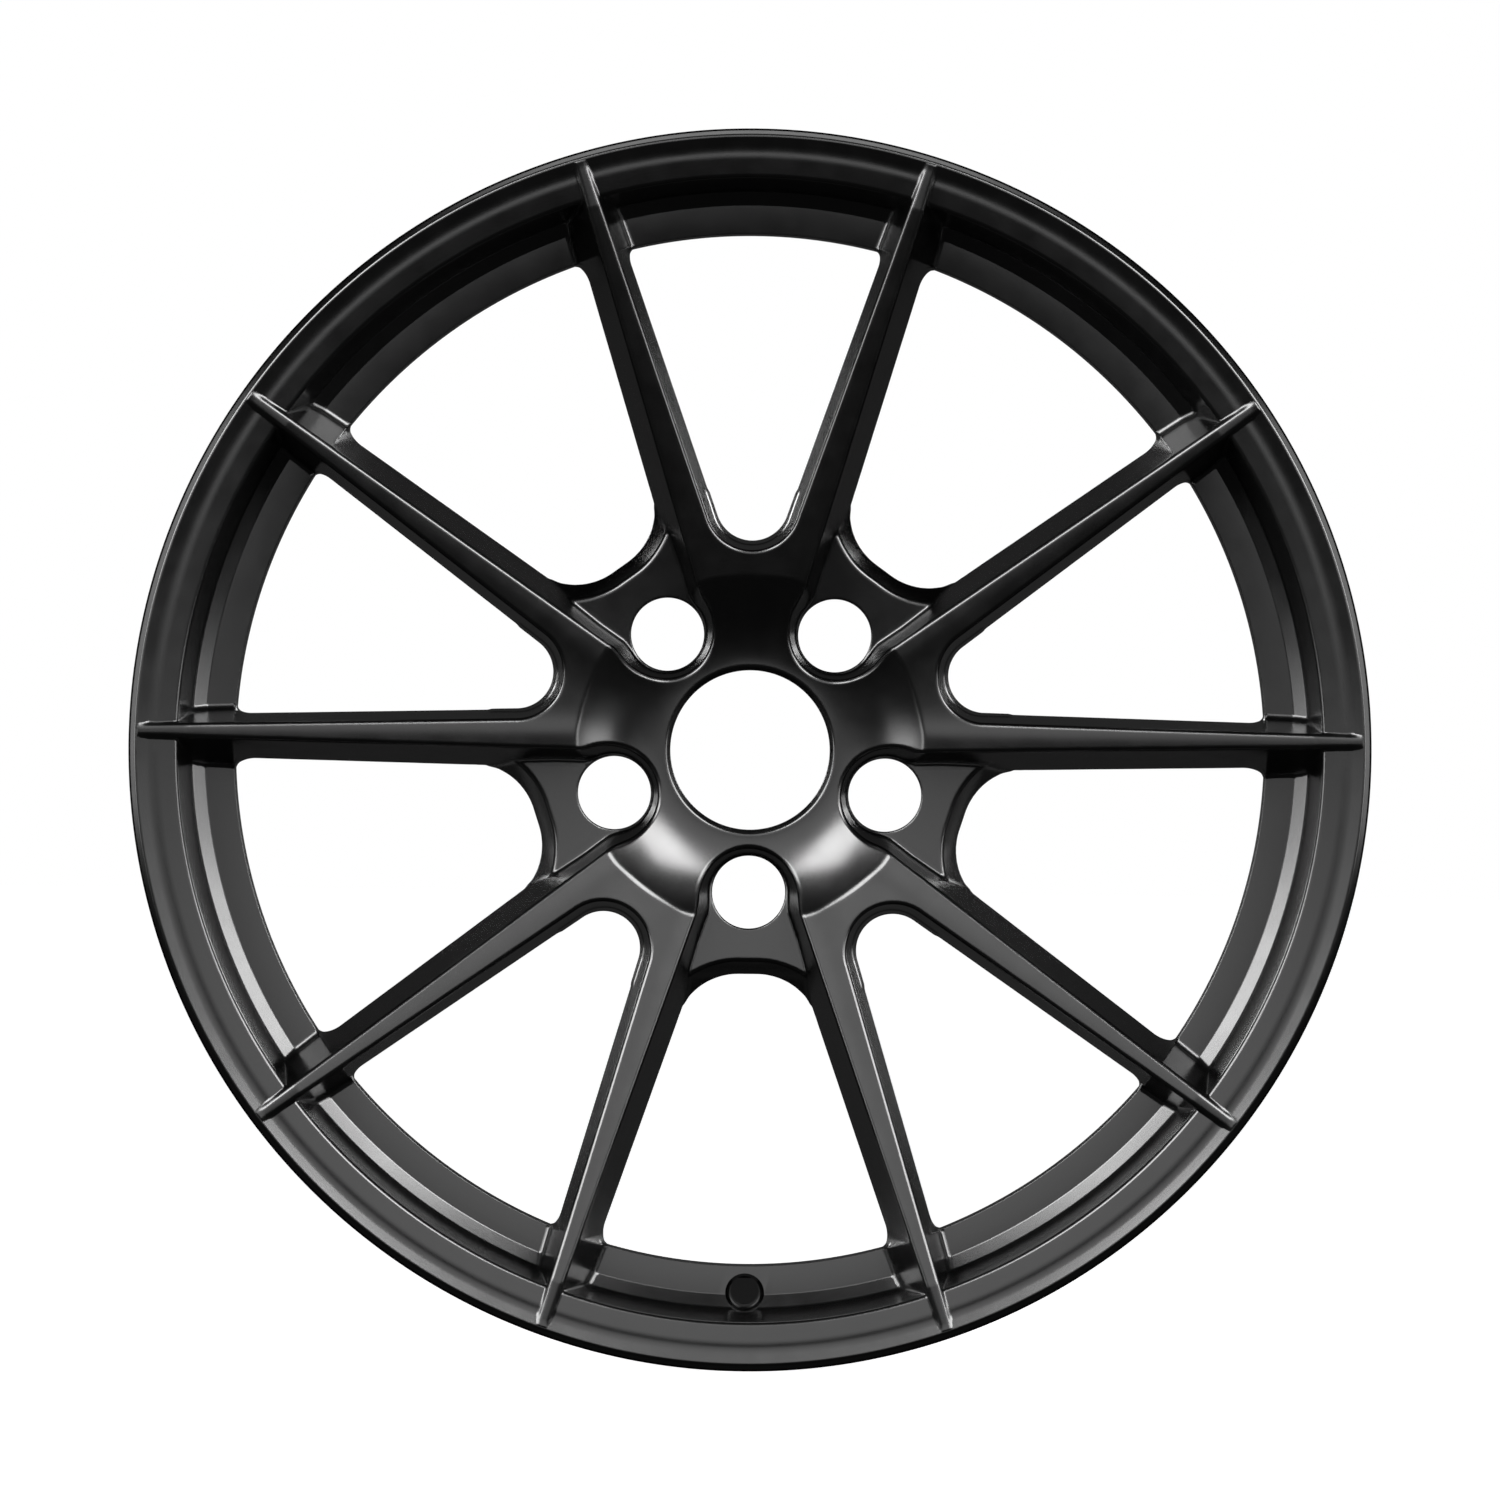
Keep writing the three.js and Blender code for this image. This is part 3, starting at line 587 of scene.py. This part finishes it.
def ring_mesh(name, corners):
    """A closed ring turned from an outline of [radius, forward, rounding] corners."""
    outline = rounded(corners)
    after = np.roll(outline, -1, axis=0)
    if (outline[:, 0] * after[:, 1] - after[:, 0] * outline[:, 1]).sum() < 0:
        outline = outline[::-1]
    turns = np.arange(RING_STEPS) * 2 * math.pi / RING_STEPS
    radius, forward = outline[:, 0][None, :], outline[:, 1][None, :]
    points = np.stack([
        np.sin(turns)[:, None] * radius,
        np.cos(turns)[:, None] * radius,
        np.ones_like(turns)[:, None] * forward,
    ], axis=2).reshape(-1, 3)
    count = len(outline)
    i = np.arange(RING_STEPS)[:, None] * count
    j = np.arange(count)[None, :]
    next_i, next_j = np.roll(i, -1, axis=0), np.roll(j, -1, axis=1)
    quads = np.stack([i + j, next_i + j, next_i + next_j, i + next_j], axis=2).reshape(-1, 4)
    return mesh_from(name, to_scene(points), quads)


def finish_ring(mesh):
    shade(mesh)
    mesh.set_sharp_from_angle(angle=SHARP_ANGLE)
    return mesh


# ---- Rim rings ----

def ring_outlines():
    """Each rim section's outline as [radius, forward, rounding] corners."""
    shoulder = BEAD_RADIUS - SEAT_FALL
    seam_wall = wall_radius(LIP_SEAM)
    seat_wall = BEAD_RADIUS - RIM_WALL
    rear = -CREST
    rear_seat = REAR_SEAM + 20
    barrel_inner = BARREL_OUTER - RIM_WALL
    slope = (shoulder - WELL_OUTER) / (LEDGE - LEDGE_THICKNESS - WELL_FRONT)
    lap = 1.5
    lap_radius = LEDGE_OUTER - 3
    return {
        "outboard_flange": [
            (seam_wall, LIP_SEAM, 0), *LIP_CORNERS, (OUTER_RADIUS, LIP_SEAM, CURL_RADIUS),
        ],
        "outboard_bead_seat": [
            (seam_wall, LIP_SEAM, 0), (BEND_RADIUS, WALL_BEND, BEND_ROUND), (LEDGE_OUTER, LEDGE - 0.02, 2),
            (lap_radius, ledge_height(lap_radius) - 0.03, 0), (lap_radius, LEDGE - lap, 0),
            (shoulder - 1, LEDGE - lap, 0), (shoulder, LEDGE, 0), (BEAD_RADIUS, LIP_SEAM, 0),
        ],
        "outboard_shoulder": [
            (WELL_INNER, ledge_height(WELL_INNER), 0.4),
            (LEDGE_OUTER + 1, ledge_height(LEDGE_OUTER + 1), 0), (shoulder, LEDGE, 0),
            (shoulder + HUMP_HEIGHT, LEDGE - HUMP_LENGTH / 2, 3), (shoulder, LEDGE - HUMP_LENGTH, 4),
            (WELL_OUTER + 0.05, LEDGE - HUMP_LENGTH - (shoulder - WELL_OUTER) / slope * 1.1, 7),
            (WELL_OUTER + 0.05, WELL_FRONT - 6, 0), (WELL_OUTER - lap, WELL_FRONT - 6, 0),
            (WELL_OUTER - lap, WELL_FRONT, 0), (WELL_INNER, WELL_FRONT, 0),
        ],
        "drop_centre": [
            (WELL_OUTER, WELL_FRONT, 0), (WELL_OUTER, WELL_REAR, 0), (WELL_INNER, WELL_REAR, 0),
            (WELL_INNER, WELL_FRONT, 0),
        ],
        "barrel_ramp": [
            (WELL_OUTER, WELL_REAR, 0), (BARREL_OUTER, RAMP_END, 0), (barrel_inner, RAMP_END, 0),
            (WELL_INNER, WELL_REAR, 0),
        ],
        "inboard_barrel": [
            (BARREL_OUTER, RAMP_END, 0), (BARREL_OUTER, BARREL_END, 0), (barrel_inner, BARREL_END, 0),
            (barrel_inner, RAMP_END, 0),
        ],
        "inboard_bead_seat": [
            (BARREL_OUTER, BARREL_END, 0), (shoulder + HUMP_HEIGHT, BARREL_END - HUMP_LENGTH / 2, 3),
            (shoulder, rear_seat, 4), (BEAD_RADIUS, REAR_SEAM, 0), (seat_wall, REAR_SEAM, 0),
            (barrel_inner, rear_seat, 8), (barrel_inner, BARREL_END, 0),
        ],
        "inboard_flange": [
            (seat_wall, REAR_SEAM, 0), (OUTER_RADIUS, REAR_SEAM, CURL_RADIUS), (OUTER_RADIUS, rear, 3),
            (BEAD_RADIUS + 6.35, rear, 4), (BEAD_RADIUS, rear + RIM_WALL, 3),
            (seat_wall, rear + 7.5, 6),
        ],
    }


def valve_cutter():
    """A plain drilling and its steep-sided seat, each with its shift outwards."""
    low, high = LEDGE - 40, LEDGE + 40
    profile = [(0, low), (VALVE_RADIUS, low), (VALVE_RADIUS, high), (0, high)]
    face = [(0, LEDGE - 3.5), (VALVE_RADIUS + 0.4, LEDGE - 3.5), (VALVE_RADIUS + 2.2, LEDGE),
            (VALVE_RADIUS + 3.2, LEDGE + 9), (0, LEDGE + 9)]
    return [(turned_cutter("valve_drill", profile), 0), (turned_cutter("valve_seat", face), 0.6)]


def turned_cutter(name, profile, steps=64):
    """A closed solid turned from a profile that starts and ends on its axis."""
    points, faces = [], []
    for k in range(steps):
        a = 2 * math.pi * k / steps
        points += [(r * math.cos(a), r * math.sin(a), f) for r, f in profile[1:-1]]
    count = len(profile) - 2
    low, high = len(points), len(points) + 1
    points += [(0, 0, profile[0][1]), (0, 0, profile[-1][1])]
    for k in range(steps):
        i, n = k * count, (k + 1) % steps * count
        faces.append((low, n, i))
        faces += [(i + j, n + j, n + j + 1, i + j + 1) for j in range(count - 1)]
        faces.append((i + count - 1, n + count - 1, high))
    mesh = bpy.data.meshes.new(name)
    mesh.from_pydata(points, [], faces)
    return mesh


def drilled(mesh, name):
    """The ring with the valve's drilling cut through it, at the bottom of the wheel."""
    for cutter_mesh, outwards in valve_cutter():
        cutter = bpy.data.objects.new("cutter", cutter_mesh)
        bpy.context.scene.collection.objects.link(cutter)
        centre = Matrix.Translation((0, 0, -(VALVE_PLACE + outwards) / MM))
        cutter.matrix_world = centre @ Matrix.Rotation(math.pi / 2, 4, "X") @ Matrix.Scale(1 / MM, 4)
        mesh = baked(mesh, name, [("BOOLEAN", {"object": cutter, "operation": "DIFFERENCE",
                                               "solver": "EXACT"})])
        bpy.data.objects.remove(cutter)
    return mesh


# ---- Materials ----

def satin_black(name, roughness, grain, tint):
    """Powder coat: a faint orange-peel skin, with slightly cloudy colour and gloss."""
    material = bpy.data.materials.new(name)
    material.use_nodes = True
    nodes, links = material.node_tree.nodes, material.node_tree.links
    shader = nodes["Principled BSDF"]
    place = nodes.new("ShaderNodeTexCoord")

    def noise(scale, detail):
        node = nodes.new("ShaderNodeTexNoise")
        node.inputs["Scale"].default_value = scale
        node.inputs["Detail"].default_value = detail
        links.new(place.outputs["Object"], node.inputs["Vector"])
        return node.outputs["Fac"]

    def ramp(value, low, high):
        node = nodes.new("ShaderNodeMapRange")
        node.inputs["From Min"].default_value = 0.3
        node.inputs["From Max"].default_value = 0.7
        node.inputs["To Min"].default_value = low
        node.inputs["To Max"].default_value = high
        links.new(value, node.inputs["Value"])
        return node.outputs["Result"]

    blend = nodes.new("ShaderNodeMix")
    blend.data_type = "RGBA"
    blend.inputs["A"].default_value = (*[c * 0.85 for c in tint], 1)
    blend.inputs["B"].default_value = (*[c * 1.25 for c in tint], 1)
    links.new(noise(38, 4), blend.inputs["Factor"])
    links.new(blend.outputs["Result"], shader.inputs["Base Color"])
    links.new(ramp(noise(95, 5), roughness - 0.02, roughness + 0.02), shader.inputs["Roughness"])
    peel = nodes.new("ShaderNodeBump")
    peel.inputs["Strength"].default_value = grain
    peel.inputs["Distance"].default_value = 0.00006
    links.new(noise(1400, 2), peel.inputs["Height"])
    links.new(peel.outputs["Normal"], shader.inputs["Normal"])
    shader.inputs["IOR"].default_value = 1.5
    return material


# ---- Build ----

RIM_BLACK = satin_black("rim_coat", 0.24, 0.04, (0.0042, 0.0043, 0.0046))
SPOKE_BLACK = satin_black("spoke_coat", 0.24, 0.04, (0.0042, 0.0043, 0.0046))
CONTACT_BLACK = satin_black("contact_coat", 0.46, 0.2, (0.008, 0.0081, 0.0085))


def piece(name, mesh, material, node, turn=0.0):
    """Puts a mesh in the scene for a CAD node, turned clockwise about the axis."""
    if not mesh.materials:
        mesh.materials.append(material)
    if turn:
        mesh = mesh.copy()
        mesh.transform(Matrix.Rotation(turn, 4, "Y"))
    made = bpy.data.objects.new(name, mesh)
    bpy.context.scene.collection.objects.link(made)
    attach(made, "root")
    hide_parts(node)
    return made


def build_rim():
    for node, corners in ring_outlines().items():
        mesh = ring_mesh(node + "_ring", corners)
        if node in ("outboard_bead_seat", "outboard_shoulder"):
            mesh = drilled(mesh, node + "_ring")
        ring = piece(node + "_coated", finish_ring(mesh), RIM_BLACK, node)
        weighted = ring.modifiers.new("even_shading", "WEIGHTED_NORMAL")
        weighted.keep_sharp = True
        weighted.weight = 80


def straight(x, z, f):
    return x, z, f


def beside_lug(x, z, f):
    c, s = math.cos(SECTOR / 2), math.sin(SECTOR / 2)
    return x * c + z * s, z * c - x * s, f


def along_spoke(t, u, drop):
    """Across, along and down from the front of the spoke right of the pair's middle."""
    lean = math.radians(SPOKE_LEAN)
    x = u * math.sin(lean) + (t - SPOKE_OFFSET) * math.cos(lean)
    z = u * math.cos(lean) - (t - SPOKE_OFFSET) * math.sin(lean)
    return x, z, drop + spoke_front(np.hypot(x, z))


def build_centre():
    hub_reach = BOWL_EDGE + OVERLAP
    across = steps_between(-hub_reach, hub_reach)
    depth = steps_between(PAD_FRONT - 0.5, HUB_TOP)
    hub = field_mesh("hub_centre_skin", hub_solid, (across, across, depth), straight, 0.34)
    piece("hub_centre_coated", hub, SPOKE_BLACK, "hub_centre")

    across = steps_between(-PAD_RADIUS, PAD_RADIUS)
    pad = field_mesh("mounting_pad_skin", pad_solid, (across, across, steps_between(PAD_REAR, PAD_FRONT)),
                     straight, 0.2)
    piece("mounting_pad_coated", pad, CONTACT_BLACK, "mounting_pad")

    web_top = pocket_floor(HORN_END) + OVERLAP
    web = field_mesh("lug_web_skin", web_solid, (
        steps_between(-38, 38), steps_between(50, HORN_END), steps_between(PAD_FRONT, web_top),
    ), beside_lug, 0.6)
    yoke_top = spoke_front(ROOT_CUT + OVERLAP)
    yoke = field_mesh("spoke_yoke_skin", yoke_solid, (
        steps_between(-50, 50), steps_between(50, ROOT_CUT + OVERLAP), steps_between(PAD_FRONT, yoke_top),
    ), straight, 0.6)
    right = field_mesh("spoke_skin", spoke_solid, (
        steps_between(-18, 22), steps_between(ROOT_CUT - 6, OUTER_RADIUS, 1.6 * STEP),
        steps_between(-SPOKE_DEPTH, 1.5),
    ), along_spoke, 0.55)
    left = mirrored(right, "spoke_skin_mirrored")
    for pair in range(PAIRS):
        turn = pair * SECTOR
        before = 2 * pair or 2 * PAIRS
        for node, mesh in (
            (f"lug_web_{pair + 1}", web),
            (f"spoke_yoke_{pair + 1}", yoke),
            (f"spoke_{2 * pair + 1:02d}", right),
            (f"spoke_{before:02d}", left),
        ):
            piece(node + "_coated", mesh, SPOKE_BLACK, node, turn)


# ---- Stage ----

def area_light(name, place, target, size, power):
    """A rectangular light in metres and watts that acts on gloss and not on the base colour."""
    data = bpy.data.lights.new(name, "AREA")
    data.shape = "RECTANGLE"
    data.size, data.size_y = size
    data.energy = power
    light = bpy.data.objects.new(name, data)
    bpy.context.scene.collection.objects.link(light)
    back = np.array(place, float) - np.array(target, float)
    light.matrix_world = Matrix.Translation(place) @ direction(back)
    light.visible_diffuse = False
    return light


def direction(back):
    return Vector(back).to_track_quat("Z", "Y").to_matrix().to_4x4()


def build_stage():
    """A pale floor, a white surround that only the camera sees, and soft boxes."""
    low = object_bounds()[0]
    floor_mesh = bpy.data.meshes.new("floor")
    half = 40
    corners = [(-half, -half, low.z), (half, -half, low.z), (half, half, low.z), (-half, half, low.z)]
    floor_mesh.from_pydata(corners, [], [(0, 1, 2, 3)])
    floor = bpy.data.objects.new("floor", floor_mesh)
    bpy.context.scene.collection.objects.link(floor)
    pale = bpy.data.materials.new("pale_floor")
    pale.use_nodes = True
    shader = pale.node_tree.nodes["Principled BSDF"]
    shader.inputs["Base Color"].default_value = (0.86, 0.86, 0.86, 1)
    shader.inputs["Roughness"].default_value = 0.9
    shader.inputs["Emission Color"].default_value = (1, 1, 1, 1)
    shader.inputs["Emission Strength"].default_value = 1.0
    floor_mesh.materials.append(pale)
    floor.visible_glossy = False
    floor.visible_diffuse = False

    world = bpy.data.worlds.new("studio")
    bpy.context.scene.world = world
    world.use_nodes = True
    nodes, links = world.node_tree.nodes, world.node_tree.links
    background = nodes["Background"]
    seen = nodes.new("ShaderNodeLightPath")
    blend = nodes.new("ShaderNodeMix")
    blend.data_type = "RGBA"
    blend.inputs["A"].default_value = (0.04, 0.04, 0.04, 1)
    blend.inputs["B"].default_value = (1.0, 1.0, 1.0, 1)
    links.new(seen.outputs["Is Camera Ray"], blend.inputs["Factor"])
    links.new(blend.outputs["Result"], background.inputs["Color"])

    for side in (-1, 1):
        area_light("box_high", (side * 1.17, -1.9, 1.3), (0, -0.1, 0), (1.1, 1.1), 80)
        area_light("box_mid", (side * 1.78, -1.25, 0.82), (0, -0.1, 0), (0.8, 0.8), 36)
        area_light("box_side", (side * 2.2, -1.1, 0.1), (0, -0.1, 0), (0.9, 0.8), 17)
        area_light("box_back", (side * 1.6, 1.95, 0.78), (0, 0, 0), (0.7, 0.7), 12)
        area_light("fill_side", (side * 4, 0.6, 0.9), (0, 0, 0), (3, 3), 60)
        area_light("fill_rear", (side * 2.8, 3.2, 0.9), (0, 0, 0), (1.8, 1.8), 18)
    area_light("fill_top", (0, 0.9, 4), (0, 0, 0), (3, 2), 28)
    area_light("bank", (0, -4, 2.0), (0, 0, 2.0), (6, 4.0), 152)
    area_light("fill_back", (0, 1.9, 3.2), (0, 0, 0), (3.5, 1.6), 26)


def build_camera():
    """Straight in front and far away, rolled a little like the photograph."""
    distance = 12.0
    seen_width = 0.5995
    sensor_width = 36
    data = bpy.data.cameras.new("camera")
    data.sensor_width = sensor_width
    data.lens = sensor_width * distance / seen_width
    data.clip_end = 100
    camera = bpy.data.objects.new("camera", data)
    bpy.context.scene.collection.objects.link(camera)
    face = -CREST / MM
    roll = Matrix.Rotation(math.radians(0.57), 4, "Y")
    upright = Matrix.Rotation(math.pi / 2, 4, "X")
    camera.matrix_world = roll.inverted() @ Matrix.Translation((0, face - distance, 0)) @ upright
    bpy.context.scene.camera = camera


build_camera()
build_rim()
build_centre()
build_stage()
bpy.context.scene.view_settings.view_transform = "Standard"
